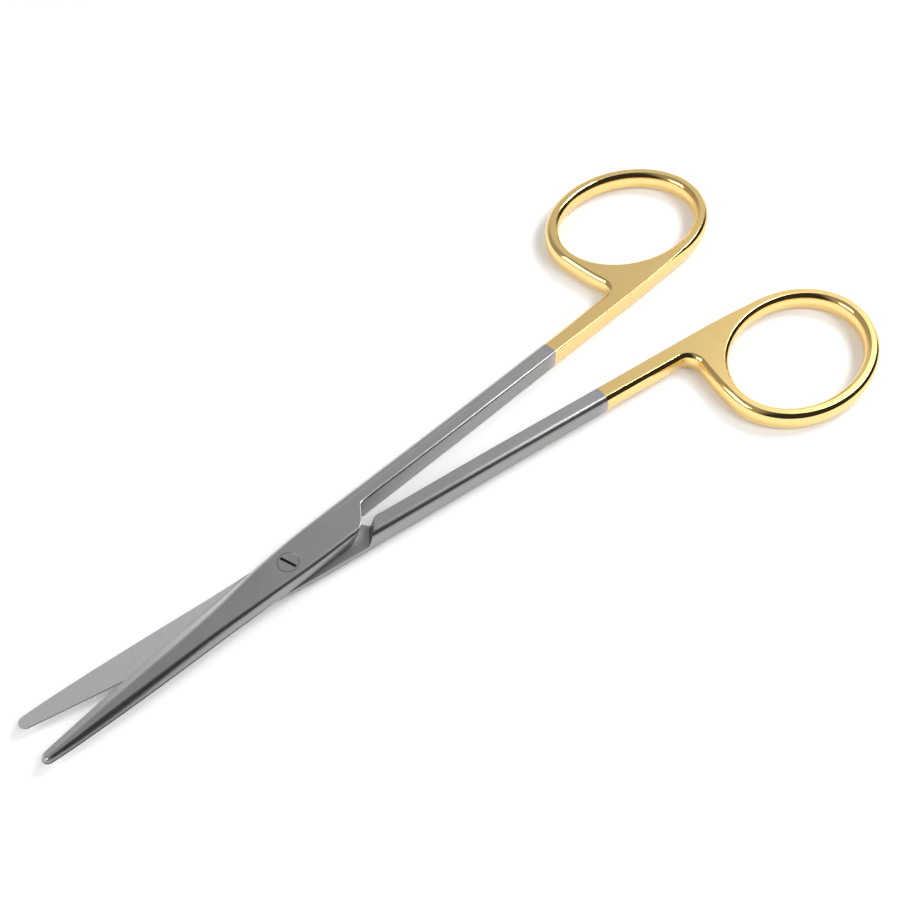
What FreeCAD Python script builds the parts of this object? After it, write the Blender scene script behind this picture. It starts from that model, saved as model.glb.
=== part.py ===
import FreeCAD, Part

import math
import os

import Sketcher
from FreeCAD import Rotation, Vector

# Dissecting scissors with straight blades, a lap joint and one pivot screw.
# Each half is drawn closed, in its own frame: the pivot axis is Z, the finger
# ring lies towards +X, its outer side faces +Y, and the parting plane between
# the halves is z = 0. The half's own layer of the joint is the one above it.
# The halves then turn apart to the rest opening, the lower one rolled over,
# and the whole stands on z = 0 with the pivot axis through the origin.

# Driving dimensions in millimetres and degrees: alias, value, meaning
DIMENSIONS = [
    ("rest_opening", 9.6, "angle between the halves at rest"),
    ("joint_top", 2.55, "parting plane to the ground outer face at the joint"),
    ("ring_top", 2.2, "parting plane to the flat of ring, web and shank's end"),
    ("tip_top", 1.02, "parting plane to the outer face at the blade's tip"),
    ("lap_gap", 0.02, "running gap between the two inner faces"),
    ("edge_land", 0.15, "height of the land behind the cutting edge"),
    ("corner", 0.6, "softening along the edges of the outer face"),
    ("tip_x", -52.3, "end of the blade"),
    ("tip_nose", 0.85, "rounding of the tip seen from the side"),
    ("wall_y", 0.12, "inner wall of shank and web"),
    ("crotch_wall", 0.4, "inner wall of the shank where it meets the lap"),
    ("shoulder_x", 17.85, "crotch of lap and shoulder on the outer faces"),
    ("shoulder_lean", 1.1, "how far both walls lean back from the parting plane to there"),
    ("shoulder_run", 2.7, "shoulder's reach along the half"),
    ("shoulder_rise", 4.3, "shoulder's rise towards the outer side"),
    ("shoulder_round", 1.8, "rounding of the shoulder's inner corner"),
    ("lap_slope", 50.5, "slope of the lap's rear edge"),
    ("lap_corner", 5.5, "radius of the lap's rear corner"),
    ("rim_width", 1.0, "flat of the rim along the notch between shank and ring"),
    ("rim_corner_x", 94.2, "place where the rim's two straight lines would meet"),
    ("notch_round", 3.4, "radius of the notch along the flat"),
    ("rim_bite", 0.15, "depth by which the rim runs into the ring"),
    ("web_step", 0.03, "step back from the shank's inner wall to the web's"),
    ("web_turn_x", 110.0, "place where the web's inner wall turns into the ring"),
    ("web_slope", 15.0, "slope of the web's inner wall beyond it"),
    ("ring_x", 110.4, "centre of the finger ring along the half"),
    ("ring_major", 17.95, "long semi-axis of the ring's centre line"),
    ("ring_minor", 13.65, "short semi-axis of the ring's centre line"),
    ("ring_tilt", -11.0, "turn of the ring's long axis"),
    ("ring_flat", 1.2, "width of the flat on the ring"),
    ("ring_bulge", 0.95, "bulge of each side of the ring"),
    ("grind", 0.3, "stock of the forging that is ground off the ring's flats"),
    ("head_radius", 1.95, "radius of the screw's head"),
    ("head_depth", 1.1, "thickness of the screw's head"),
    ("head_gap", 0.05, "gap round the screw's head"),
    ("seat_gap", 0.02, "running gap under the screw's head"),
    ("axle_radius", 1.25, "radius of the screw's smooth shank and of its thread"),
    ("axle_gap", 0.04, "running gap round the screw's smooth shank"),
    ("slot_width", 0.55, "width of the screw's slot"),
    ("slot_depth", 0.6, "depth of the screw's slot"),
    ("slot_reach", 1.7, "axis to each closed end of the slot"),
    ("slot_turn", 111.0, "direction of the screw's slot"),
]

# Cross sections of blade, lap and shank. edge and back are how far a section
# reaches towards +Y and -Y, bevel and turn how far its flat stays behind them,
# and crown is 0 for a straight ground bevel and 1 for a domed side. The shank
# and its heel have a plain inner wall in place of back and turn.
SECTION_ALIASES = ("x", "edge", "bevel", "crown", "back", "turn")
SECTIONS = {
    "past": (-54.0, 1.18, 1.22, 0.0, 0.60, 0.10),
    "point": (-47.0, 1.80, 1.62, 0.0, 1.35, 0.18),
    "fore": (-37.0, 2.60, 2.00, 0.0, 2.02, 0.45),
    "middle": (-26.0, 3.33, 2.40, 0.0, 2.54, 0.45),
    "rear": (-15.0, 3.86, 2.30, 0.1, 2.96, 0.38),
    "neck": (-5.0, 4.10, 1.50, 0.6, 3.50, 0.50),
    "screw": (3.0, 4.18, 1.02, 1.0, 4.00, 0.68),
    "lap": (11.0, 4.20, 0.98, 1.0, 4.15, 0.58),
    "crotch": (18.0, 4.18, 0.98, 1.0, 4.15, 0.55),
    "shank": (45.0, 3.93, 0.95, 1.0),
    "heel": (88.0, 3.90, 0.95, 1.0),
}
TAPERED = ("past", "point", "fore", "middle", "rear")
FULL_HEIGHT = ("neck", "screw", "lap", "crotch")

# A domed side's control pole lies this share of the bulge in and of the top up
DOME_IN = 0.06
DOME_UP = 0.66
# Largest share of a flat's width that the softening of one edge takes
FLAT_SHARE = 0.3
# Share of the softening that is left where the shank runs into the ring's flat
HEEL_SHARE = 0.2
# The dome goes on into the stock above the flat, this far in for each step up
DOME_SLOPE = 1.15
# Shares of the grinding stock on rim and web; the ring has all of it
RIM_STOCK = 0.8
WEB_STOCK = 0.5
# Cutting outlines run this far past the solid, and clear it by this much
BEYOND = 8.0
CLEAR = 0.05

doc = FreeCAD.newDocument("dissecting_scissors")


def make_sheet():
    """Spreadsheet with one aliased cell for each driving dimension."""
    sheet = doc.addObject("Spreadsheet::Sheet", "sizes")
    rows = list(DIMENSIONS)
    for name, values in SECTIONS.items():
        for alias, number in zip(SECTION_ALIASES, values):
            rows.append(("%s_%s" % (name, alias), number, "section at the %s" % name))
    for row, (alias, number, meaning) in enumerate(rows, 1):
        sheet.set("A%d" % row, alias)
        sheet.set("B%d" % row, str(number))
        sheet.set("C%d" % row, meaning)
        sheet.setAlias("B%d" % row, alias)
    doc.recompute()
    return sheet


sizes = make_sheet()

# Places worked out from the sheet, as expressions that features are bound to.
# The ring's reach is half the width of its tilted centre line along X and Y.
RING_REACH_X = ("sqrt((sizes.ring_major * cos(sizes.ring_tilt))^2"
                " + (sizes.ring_minor * sin(sizes.ring_tilt))^2)")
RING_REACH_Y = ("sqrt((sizes.ring_major * sin(sizes.ring_tilt))^2"
                " + (sizes.ring_minor * cos(sizes.ring_tilt))^2)")
RING_Y = "(sizes.wall_y + sizes.ring_bulge + sizes.ring_flat / 2 + %s)" % RING_REACH_Y
RING_CENTRE = ("sizes.ring_x", RING_Y)
RING_LEFT_Y = ("(%s - (sizes.ring_major^2 - sizes.ring_minor^2) * sin(sizes.ring_tilt)"
               " * cos(sizes.ring_tilt) / %s)" % (RING_Y, RING_REACH_X))
# The rim's line is the inner edge of its flat, where it lies on the web
RIM_Y = "(sizes.heel_edge - sizes.heel_bevel - sizes.rim_width)"
RIM_START = ("sizes.heel_x", RIM_Y)
RIM_CORNER = ("sizes.rim_corner_x", RIM_Y)
RIM_END = ("(sizes.ring_x - %s + sizes.rim_width - sizes.ring_flat / 2 + sizes.rim_bite)"
           % RING_REACH_X, RING_LEFT_Y)
RIM_RADIUS = "(sizes.notch_round + sizes.rim_width)"
# The blunt tip is a half circle as wide as the blade is there
TIP_WIDENING = ("((sizes.point_edge + sizes.point_back - sizes.past_edge - sizes.past_back)"
                " / 2 / (sizes.point_x - sizes.past_x))")
TIP_RADIUS = ("(((sizes.past_edge + sizes.past_back) / 2 + %s * (sizes.tip_x - sizes.past_x))"
              " / (1 - %s))" % (TIP_WIDENING, TIP_WIDENING))
TIP_CENTRE_X = "(sizes.tip_x + %s)" % TIP_RADIUS
TIP_CENTRE_Y = ("((sizes.past_edge - sizes.past_back) / 2"
                " + (sizes.point_edge - sizes.point_back - sizes.past_edge + sizes.past_back) / 2"
                " * (%s - sizes.past_x) / (sizes.point_x - sizes.past_x))" % TIP_CENTRE_X)


def value(expression):
    """Number that an expression on the sheet has now."""
    return float(sizes.evalExpression(expression))


def spot(place):
    """Point in a sketch from its pair of expressions."""
    return Vector(value(place[0]), value(place[1]), 0)


def origin_plane(body, role):
    return next(f for f in body.Origin.OriginFeatures if f.Role == role)


def new_sketch(body, name, role, height="0"):
    """Empty sketch on an origin plane of the body, moved along its normal."""
    sketch = body.newObject("Sketcher::SketchObject", name)
    sketch.AttachmentSupport = [(origin_plane(body, role), "")]
    sketch.MapMode = "FlatFace"
    sketch.setExpression("AttachmentOffset.Base.z", height)
    return sketch


def bind(sketch, kind, target, expression):
    """Dimension of a sketch that takes its value from the sheet."""
    row = sketch.addConstraint(Sketcher.Constraint(kind, *target, value(expression)))
    sketch.setExpression("Constraints[%d]" % row, expression)


def pin(sketch, geometry, point, place):
    """Tie both coordinates of a sketch point to the sheet."""
    bind(sketch, "DistanceX", (-1, 1, geometry, point), place[0])
    bind(sketch, "DistanceY", (-1, 1, geometry, point), place[1])


def add_line(sketch, start, end):
    return sketch.addGeometry(Part.LineSegment(spot(start), spot(end)), False)


def add_curve(sketch, poles):
    """Smooth edge along control poles that are tied to the sheet."""
    curve = Part.BSplineCurve()
    curve.buildFromPoles([spot(pole) for pole in poles], False, 2)
    edge = sketch.addGeometry(curve, False)
    first_pole = sketch.GeometryCount
    sketch.exposeInternalGeometry(edge)
    for number, pole in enumerate(poles):
        pin(sketch, first_pole + number, 3, pole)
    return edge


def join(sketch, edges):
    """Close an outline: each edge's end lies on the next one's start."""
    for here, there in zip(edges, edges[1:] + edges[:1]):
        sketch.addConstraint(Sketcher.Constraint("Coincident", here, 2, there, 1))


def add_outline(sketch, places):
    """Closed outline of straight edges through places that are tied to the sheet."""
    edges = [add_line(sketch, here, there)
             for here, there in zip(places, places[1:] + places[:1])]
    for edge, place in zip(edges, places):
        pin(sketch, edge, 1, place)
    join(sketch, edges)
    return edges


def round_corner(sketch, edge, radius):
    """Round the corner at the end of a straight edge of an outline."""
    arc = sketch.GeometryCount
    sketch.fillet(edge, 2, value(radius), True, True)
    bind(sketch, "Radius", (arc,), radius)


def add_circle(sketch, radius):
    circle = sketch.addGeometry(Part.Circle(Vector(), Vector(0, 0, 1), value(radius)), False)
    sketch.addConstraint(Sketcher.Constraint("Coincident", circle, 3, -1, 1))
    bind(sketch, "Radius", (circle,), radius)


def make_tip(body, feature):
    """Build a new feature as the body's tip."""
    body.Tip = feature
    doc.recompute()
    return feature


def pocket(body, name, sketch, reach="down", depth=None):
    """Pocket through all that lies below, above or on both sides of its sketch."""
    before = body.Shape.Volume
    feature = body.newObject("PartDesign::Pocket", name)
    feature.Profile = sketch
    feature.Reversed = reach == "up"
    feature.Midplane = reach == "both"
    if depth:
        feature.setExpression("Length", depth)
    else:
        feature.Type = "ThroughAll"
    make_tip(body, feature)
    if body.Shape.Volume > before * (1 - 1e-6):
        raise RuntimeError("the pocket %s takes nothing away" % name)


def pipe(body, name, profile, path):
    feature = body.newObject("PartDesign::AdditivePipe", name)
    feature.Profile = profile
    feature.Spine = (path, [""])
    make_tip(body, feature)


def loft(body, name, sections):
    feature = body.newObject("PartDesign::AdditiveLoft", name)
    feature.Profile = (sections[0], [""])
    feature.Sections = [(section, [""]) for section in sections[1:]]
    return make_tip(body, feature)


def taper(station, low_place, low_top, high_place, high_top):
    """Height of the outer face at a station, between two places that it runs straight."""
    return ("(sizes.{2} + (sizes.{4} - sizes.{2}) * (sizes.{0}_x - sizes.{1})"
            " / (sizes.{3} - sizes.{1}))").format(station, low_place, low_top,
                                                 high_place, high_top)


def half_section(body, station, name, back, turn, top, softness=1):
    """Section above the parting plane: flat face, land, and one curve over the top."""
    x, edge, bevel, crown = ["sizes.%s_%s" % (station, a) for a in SECTION_ALIASES[:4]]
    sketch = new_sketch(body, name + "_section", "YZ_Plane", x)
    flat_edge = "(%s - %s)" % (edge, bevel)
    flat_back = "(%s - %s)" % (turn, back)
    softening = "min(%s * sizes.corner; %s * (%s - %s))" % (
        softness, FLAT_SHARE, flat_edge, flat_back)
    pole_in = "%s * (0.5 - %s * %s)" % (bevel, 0.5 - DOME_IN, crown)
    pole_up = "(%s - sizes.edge_land) * (0.5 + %s * %s)" % (top, DOME_UP - 0.5, crown)
    outer = [
        (edge, "sizes.edge_land"),
        ("%s - %s" % (edge, pole_in), "sizes.edge_land + %s" % pole_up),
        (flat_edge, top),
        ("%s - %s" % (flat_edge, softening), top),
    ]
    inner = [
        ("%s + %s" % (flat_back, softening), top),
        (flat_back, top),
        ("%s * %s - %s" % (DOME_IN, turn, back), "%s * %s" % (DOME_UP, top)),
        ("-%s" % back, "0"),
    ]
    outside = add_curve(sketch, outer)
    over = add_line(sketch, outer[-1], inner[0])
    inside = add_curve(sketch, inner)
    under = add_line(sketch, inner[-1], (edge, "0"))
    land = add_line(sketch, (edge, "0"), outer[0])
    pin(sketch, land, 1, (edge, "0"))
    join(sketch, [outside, over, inside, under, land])
    return sketch


def add_blade_and_shank(body):
    """Upper layer of blade, lap and shank, then the same below the parting plane."""
    blade_sections = []
    for station in TAPERED + FULL_HEIGHT:
        top = "sizes.joint_top"
        if station in TAPERED:
            top = taper(station, "tip_x", "tip_top", "neck_x", "joint_top")
        blade_sections.append(half_section(
            body, station, station, "sizes.%s_back" % station, "sizes.%s_turn" % station, top))
    shank_sections = []
    for station, wall in (("crotch", "crotch_wall"), ("shank", "wall_y"), ("heel", "wall_y")):
        top = taper(station, "crotch_x", "joint_top", "heel_x", "ring_top")
        softness = HEEL_SHARE if station == "heel" else 1
        shank_sections.append(half_section(
            body, station, "shank_" + station, "(-sizes.%s)" % wall, "0", top, softness))
    blade = loft(body, "blade_and_lap", blade_sections)
    shank = loft(body, "shank", shank_sections)
    layers = body.newObject("PartDesign::Mirrored", "both_layers")
    layers.Originals = [blade, shank]
    layers.MirrorPlane = (origin_plane(body, "XY_Plane"), [""])
    make_tip(body, layers)


def cut_between(body, name, low_outline, high_outline):
    """Cut with straight walls from one outline to another at a different height."""
    before = body.Shape.Volume
    feature = body.newObject("PartDesign::SubtractiveLoft", name)
    feature.Profile = (low_outline, [""])
    feature.Sections = [(high_outline, [""])]
    feature.Ruled = True
    make_tip(body, feature)
    if body.Shape.Volume > before * (1 - 1e-6):
        raise RuntimeError("the cut %s takes nothing away" % name)


def lap_face_outline(body, name, height, lean):
    """Outline of the mate's room below the lap, with the shoulder as its rear wall."""
    left = "sizes.past_x - %s" % BEYOND
    low = "-sizes.lap_back - %s" % BEYOND
    corner_x = "(sizes.shoulder_x - %s)" % lean
    crotch = (corner_x, "sizes.crotch_wall")
    shoulder_top = ("%s - 2 * sizes.shoulder_run" % corner_x,
                    "sizes.crotch_wall + 2 * sizes.shoulder_rise")
    past_corner = "sizes.shoulder_x + 2 * sizes.shoulder_round"
    face = new_sketch(body, name, "XY_Plane", height)
    edges = add_outline(face, [
        (left, shoulder_top[1]), (left, low), (past_corner, low),
        (past_corner, "sizes.wall_y"), crotch, shoulder_top,
    ])
    round_corner(face, edges[3], "sizes.shoulder_round")
    return face


def lap_rear_outline(body, name, height, lean):
    """Outline of the room behind the lap's rear edge."""
    low = "-sizes.lap_back - %s" % BEYOND
    lap_low = "(-sizes.lap_back - %s)" % CLEAR
    corner_x = "(sizes.shoulder_x - %s)" % lean
    rear_x = "(%s - (sizes.crotch_wall - %s) / tan(sizes.lap_slope))" % (corner_x, lap_low)
    past_crotch = "sizes.crotch_x + sizes.crotch_wall"
    rear = new_sketch(body, name, "XY_Plane", height)
    edges = add_outline(rear, [
        (corner_x, "sizes.crotch_wall"), (rear_x, lap_low),
        ("%s - %s" % (rear_x, BEYOND), lap_low), ("%s - %s" % (rear_x, BEYOND), low),
        (past_crotch, low), (past_crotch, "0"), ("sizes.crotch_x", "sizes.crotch_wall"),
    ])
    round_corner(rear, edges[0], "sizes.lap_corner")
    return rear


def cut_lap(body):
    """Open the joint: lap face with the mate's shoulder, and the lap's rear edge.

    Both walls lean back from the parting plane, so that the lap seats on the shoulder."""
    past_face = "(sizes.joint_top + %s)" % CLEAR
    lean_past = "sizes.shoulder_lean * %s / sizes.joint_top" % CLEAR
    cut_between(body, "lap_face",
                lap_face_outline(body, "lap_face_foot", "sizes.lap_gap / 2", "sizes.shoulder_lean"),
                lap_face_outline(body, "lap_face_end", "-" + past_face, "-" + lean_past))
    cut_between(body, "lap_rear",
                lap_rear_outline(body, "lap_rear_foot", "0", "sizes.shoulder_lean"),
                lap_rear_outline(body, "lap_rear_end", past_face, "0"))


def cut_tip(body):
    """Blunt tip: a half circle in plan and a rounded nose from the side."""
    left = "sizes.past_x - %s" % BEYOND
    plan = new_sketch(body, "tip_plan_outline", "XY_Plane")
    centre = spot((TIP_CENTRE_X, TIP_CENTRE_Y))
    arc = plan.addGeometry(Part.ArcOfCircle(
        Part.Circle(centre, Vector(0, 0, 1), value(TIP_RADIUS)), math.pi / 2, 1.5 * math.pi), False)
    below = (TIP_CENTRE_X, "%s - %s" % (TIP_CENTRE_Y, BEYOND))
    above = (TIP_CENTRE_X, "%s + %s" % (TIP_CENTRE_Y, BEYOND))
    places = [(TIP_CENTRE_X, "%s - %s" % (TIP_CENTRE_Y, TIP_RADIUS)), below,
              (left, below[1]), (left, above[1]), above,
              (TIP_CENTRE_X, "%s + %s" % (TIP_CENTRE_Y, TIP_RADIUS))]
    lines = [add_line(plan, here, there) for here, there in zip(places, places[1:])]
    for line, place in zip(lines, places):
        pin(plan, line, 1, place)
    pin(plan, arc, 1, places[-1])
    join(plan, [arc] + lines)
    bind(plan, "DistanceX", (-1, 1, arc, 3), TIP_CENTRE_X)
    pocket(body, "tip_plan", plan, "both")

    nose = new_sketch(body, "tip_nose_outline", "XZ_Plane")
    nose_top = "(sizes.tip_top + %s)" % CLEAR
    edges = add_outline(nose, [
        ("sizes.tip_x", "0"), ("sizes.tip_x", nose_top), ("sizes.tip_x + %s" % BEYOND, nose_top),
        ("sizes.tip_x + %s" % BEYOND, "%s + %s" % (nose_top, BEYOND)),
        (left, "%s + %s" % (nose_top, BEYOND)), (left, "0"),
    ])
    round_corner(nose, edges[0], "sizes.tip_nose")
    pocket(body, "tip_nose", nose, "both")


def add_web(body):
    """Flat web between shank and ring, less the finger hole up to the ring's line."""
    outline = new_sketch(body, "web_outline", "XY_Plane")
    wall = "sizes.wall_y + sizes.web_step"
    edges = add_outline(outline, [
        ("sizes.heel_x", wall), ("sizes.web_turn_x", wall),
        ("sizes.web_turn_x + sizes.ring_major / 2",
         "%s + sizes.ring_major / 2 * tan(sizes.web_slope)" % wall),
        RIM_END, RIM_CORNER, RIM_START,
    ])
    round_corner(outline, edges[3], RIM_RADIUS)
    web = body.newObject("PartDesign::Pad", "web")
    web.Profile = outline
    web.Midplane = True
    web.setExpression("Length", "2 * (sizes.ring_top + %s * sizes.grind)" % WEB_STOCK)
    make_tip(body, web)


def ring_line(body, name):
    """Sketch of the ring's centre line, a tilted ellipse in two halves."""
    sketch = new_sketch(body, name, "XY_Plane")
    centre = spot(RING_CENTRE)
    tilt = math.radians(value("sizes.ring_tilt"))
    along = Vector(math.cos(tilt), math.sin(tilt), 0)
    across = Vector(-math.sin(tilt), math.cos(tilt), 0)
    ellipse = Part.Ellipse(centre + along * value("sizes.ring_major"),
                           centre + across * value("sizes.ring_minor"), centre)
    for start in (0, math.pi):
        arc = sketch.addGeometry(Part.ArcOfEllipse(ellipse, start, start + math.pi), False)
        long_axis = sketch.GeometryCount
        sketch.exposeInternalGeometry(arc)
        pin(sketch, arc, 3, RING_CENTRE)
        pin(sketch, long_axis, 1, (
            "sizes.ring_x + sizes.ring_major * cos(sizes.ring_tilt)",
            "%s + sizes.ring_major * sin(sizes.ring_tilt)" % RING_Y))
        bind(sketch, "Distance", (long_axis + 1,), "2 * sizes.ring_minor")
        for end in (1, 2):
            sketch.addConstraint(Sketcher.Constraint("PointOnObject", arc, end, long_axis))
    return sketch


def domed_side(flat, bulge, stock, sign):
    """Poles down one domed side of a bar, with stock on its flats; sign is + or -."""
    top = "(sizes.ring_top + %s * sizes.grind)" % stock
    inner = "(%s %s (-%s * %s * sizes.grind))" % (flat, sign, DOME_SLOPE, stock)
    lean = "(%s %s %s * %s)" % (flat, sign, 1 - DOME_IN, bulge)
    lean_up = "%s * sizes.ring_top" % DOME_UP
    widest = "(%s %s %s)" % (flat, sign, bulge)
    return [(inner, top), (lean, lean_up), (widest, "0"), (lean, "-" + lean_up), (inner, "-" + top)]


def add_rim(body):
    """Domed rim that carries the shank's outer side round the notch into the ring."""
    path = new_sketch(body, "rim_line", "XY_Plane")
    first = add_line(path, RIM_START, RIM_CORNER)
    second = add_line(path, RIM_CORNER, RIM_END)
    pin(path, first, 1, RIM_START)
    pin(path, second, 2, RIM_END)
    pin(path, first, 2, RIM_CORNER)
    path.addConstraint(Sketcher.Constraint("Coincident", first, 2, second, 1))
    round_corner(path, first, RIM_RADIUS)

    profile = new_sketch(body, "rim_section", "YZ_Plane", "sizes.heel_x")
    flat_edge = "(sizes.heel_edge - sizes.heel_bevel)"
    poles = domed_side(flat_edge, "sizes.heel_bevel", RIM_STOCK, "+")
    low_inner = (RIM_Y, poles[-1][1])
    high_inner = (RIM_Y, poles[0][1])
    side = add_curve(profile, poles)
    under = add_line(profile, poles[-1], low_inner)
    inside = add_line(profile, low_inner, high_inner)
    over = add_line(profile, high_inner, poles[0])
    pin(profile, inside, 1, low_inner)
    pin(profile, over, 1, high_inner)
    join(profile, [side, under, inside, over])
    pipe(body, "rim", profile, path)


def add_ring(body):
    """Finger ring: a bar with flat faces and domed sides, swept along an ellipse."""
    hole = ring_line(body, "finger_hole_outline")
    pocket(body, "finger_hole", hole, "both")

    path = ring_line(body, "ring_line")
    profile = new_sketch(body, "ring_section", "XZ_Plane")
    profile.AttachmentOffset = FreeCAD.Placement(
        Vector(), Rotation(Vector(0, -1, 0), value("-sizes.ring_tilt")))
    profile.setExpression("AttachmentOffset.Rotation.Angle", "-sizes.ring_tilt")
    profile.setExpression("AttachmentOffset.Base.x",
                          "sizes.ring_x + sizes.ring_major * cos(sizes.ring_tilt)")
    profile.setExpression("AttachmentOffset.Base.z",
                          "-(%s + sizes.ring_major * sin(sizes.ring_tilt))" % RING_Y)
    outer = domed_side("(sizes.ring_flat / 2)", "sizes.ring_bulge", 1, "+")
    inner = domed_side("(-sizes.ring_flat / 2)", "sizes.ring_bulge", 1, "-")
    inner.reverse()
    outside = add_curve(profile, outer)
    under = add_line(profile, outer[-1], inner[0])
    inside = add_curve(profile, inner)
    over = add_line(profile, inner[-1], outer[0])
    join(profile, [outside, under, inside, over])
    pipe(body, "ring", profile, path)


def grind_flats(body):
    """Grind ring, rim and web flat and level with the end of the shank, on both faces."""
    right = "sizes.ring_x + sizes.ring_major + %s" % BEYOND
    outline = new_sketch(body, "flats_outline", "XZ_Plane")
    for sign in ("", "-"):
        level = sign + "sizes.ring_top"
        past = "%s(sizes.ring_top + %s)" % (sign, BEYOND)
        add_outline(outline, [("sizes.heel_x", level), (right, level), (right, past),
                              ("sizes.heel_x", past)])
    pocket(body, "flats", outline, "both")


def cut_circle(body, name, radius, reach, height="0"):
    sketch = new_sketch(body, name + "_outline", "XY_Plane", height)
    add_circle(sketch, radius)
    pocket(body, name, sketch, reach)


def make_half(name):
    """One forging, the same for both halves but for its hole round the pivot axis."""
    body = doc.addObject("PartDesign::Body", name)
    body.Label = name
    add_blade_and_shank(body)
    cut_lap(body)
    cut_tip(body)
    add_web(body)
    add_ring(body)
    add_rim(body)
    grind_flats(body)
    return body


def make_upper_half():
    """Half that turns: its bore runs on the screw and its recess holds the head."""
    body = make_half("upper_half")
    cut_circle(body, "axle_bore", "sizes.axle_radius + sizes.axle_gap", "both")
    cut_circle(body, "head_recess", "sizes.head_radius + sizes.head_gap", "up",
               "sizes.joint_top - sizes.head_depth - sizes.seat_gap")
    body.setExpression("Placement.Base.z", "sizes.joint_top")
    body.Placement.Rotation = Rotation(Vector(0, 0, 1), value("sizes.rest_opening / 2"))
    body.setExpression("Placement.Rotation.Angle", "sizes.rest_opening / 2")
    return body


def make_lower_half():
    """Half that carries the screw in its thread, rolled over below the parting plane."""
    body = make_half("lower_half")
    cut_circle(body, "thread_bore", "sizes.axle_radius", "both")
    # Rolled over about X and turned back by half the opening, in one half turn
    body.setExpression("Placement.Base.z", "sizes.joint_top")
    body.Placement.Rotation = Rotation(
        Vector(value("cos(sizes.rest_opening / 4)"), value("-sin(sizes.rest_opening / 4)"), 0), 180)
    body.setExpression("Placement.Rotation.Axis.x", "cos(sizes.rest_opening / 4)")
    body.setExpression("Placement.Rotation.Axis.y", "-sin(sizes.rest_opening / 4)")
    return body


def make_pivot_screw():
    """Slotted screw: flush head, smooth shank and thread, turned in one piece."""
    body = doc.addObject("PartDesign::Body", "pivot_screw")
    body.Label = "pivot_screw"
    profile = new_sketch(body, "turned_outline", "XZ_Plane")
    seat = "sizes.joint_top - sizes.head_depth"
    add_outline(profile, [
        ("0", "-sizes.joint_top"), ("sizes.axle_radius", "-sizes.joint_top"),
        ("sizes.axle_radius", seat), ("sizes.head_radius", seat),
        ("sizes.head_radius", "sizes.joint_top"), ("0", "sizes.joint_top"),
    ])
    turned = body.newObject("PartDesign::Revolution", "turned")
    turned.Profile = profile
    turned.ReferenceAxis = (profile, ["V_Axis"])
    turned.Angle = 360
    make_tip(body, turned)
    outline = new_sketch(body, "slot_outline", "XY_Plane", "sizes.joint_top")
    outline.AttachmentOffset = FreeCAD.Placement(
        Vector(), Rotation(Vector(0, 0, 1), value("sizes.slot_turn")))
    outline.setExpression("AttachmentOffset.Rotation.Angle", "sizes.slot_turn")
    half_width = "sizes.slot_width / 2"
    add_outline(outline, [
        ("-sizes.slot_reach", "-" + half_width), ("sizes.slot_reach", "-" + half_width),
        ("sizes.slot_reach", half_width), ("-sizes.slot_reach", half_width),
    ])
    pocket(body, "slot", outline, "down", "sizes.slot_depth")
    body.setExpression("Placement.Base.z", "sizes.joint_top")
    return body


def check_and_export(bodies):
    """Stop if anything failed; otherwise write one STEP file for each piece."""
    doc.recompute()
    for item in doc.Objects:
        if "Invalid" in item.State or "Error" in item.State:
            raise RuntimeError("%s did not build" % item.Name)
    for body in bodies:
        if body.Shape.isNull() or not body.Shape.isValid() or len(body.Shape.Solids) != 1:
            raise RuntimeError("%s is not one sound solid" % body.Label)
    os.makedirs("parts", exist_ok=True)
    for body in bodies:
        body.Shape.exportStep(os.path.join("parts", body.Label + ".step"))


check_and_export([make_upper_half(), make_lower_half(), make_pivot_screw()])
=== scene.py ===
import math
from collections import namedtuple

import bmesh
import bpy
from mathutils import Matrix, Vector


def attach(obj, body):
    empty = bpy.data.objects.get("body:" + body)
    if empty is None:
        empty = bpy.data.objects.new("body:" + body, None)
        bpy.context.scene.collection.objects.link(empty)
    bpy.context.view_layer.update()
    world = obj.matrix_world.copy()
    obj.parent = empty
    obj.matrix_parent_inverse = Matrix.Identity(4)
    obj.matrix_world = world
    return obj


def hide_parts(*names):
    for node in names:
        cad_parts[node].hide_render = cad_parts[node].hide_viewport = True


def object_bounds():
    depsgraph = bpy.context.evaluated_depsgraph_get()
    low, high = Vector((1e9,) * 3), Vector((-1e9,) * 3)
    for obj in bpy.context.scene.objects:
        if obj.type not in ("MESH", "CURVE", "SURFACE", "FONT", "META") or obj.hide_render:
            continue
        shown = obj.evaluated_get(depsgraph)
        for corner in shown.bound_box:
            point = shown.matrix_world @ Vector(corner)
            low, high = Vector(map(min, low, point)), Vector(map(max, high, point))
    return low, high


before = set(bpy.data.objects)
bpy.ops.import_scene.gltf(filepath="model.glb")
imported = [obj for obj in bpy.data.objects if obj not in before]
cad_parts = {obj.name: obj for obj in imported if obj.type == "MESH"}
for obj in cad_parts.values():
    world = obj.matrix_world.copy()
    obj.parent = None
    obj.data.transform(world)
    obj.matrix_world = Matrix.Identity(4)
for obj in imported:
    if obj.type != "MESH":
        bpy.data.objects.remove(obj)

CAD_LOW, CAD_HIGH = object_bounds()

MM = 0.001

# Camera, worked out from the photograph: a plain 50 mm lens above the blade side
CAMERA_PLACE = (-0.05071, -0.10679, 0.19791)
CAMERA_TILT = math.radians(35.858)
CAMERA_TURN = math.radians(-39.569)
LENS = 50.0
SENSOR = 36.0

# Half of the scissors' opening at rest, and the height of the parting plane
HALF_OPENING = math.radians(4.8)
PARTING_HEIGHT = 2.55

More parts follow.
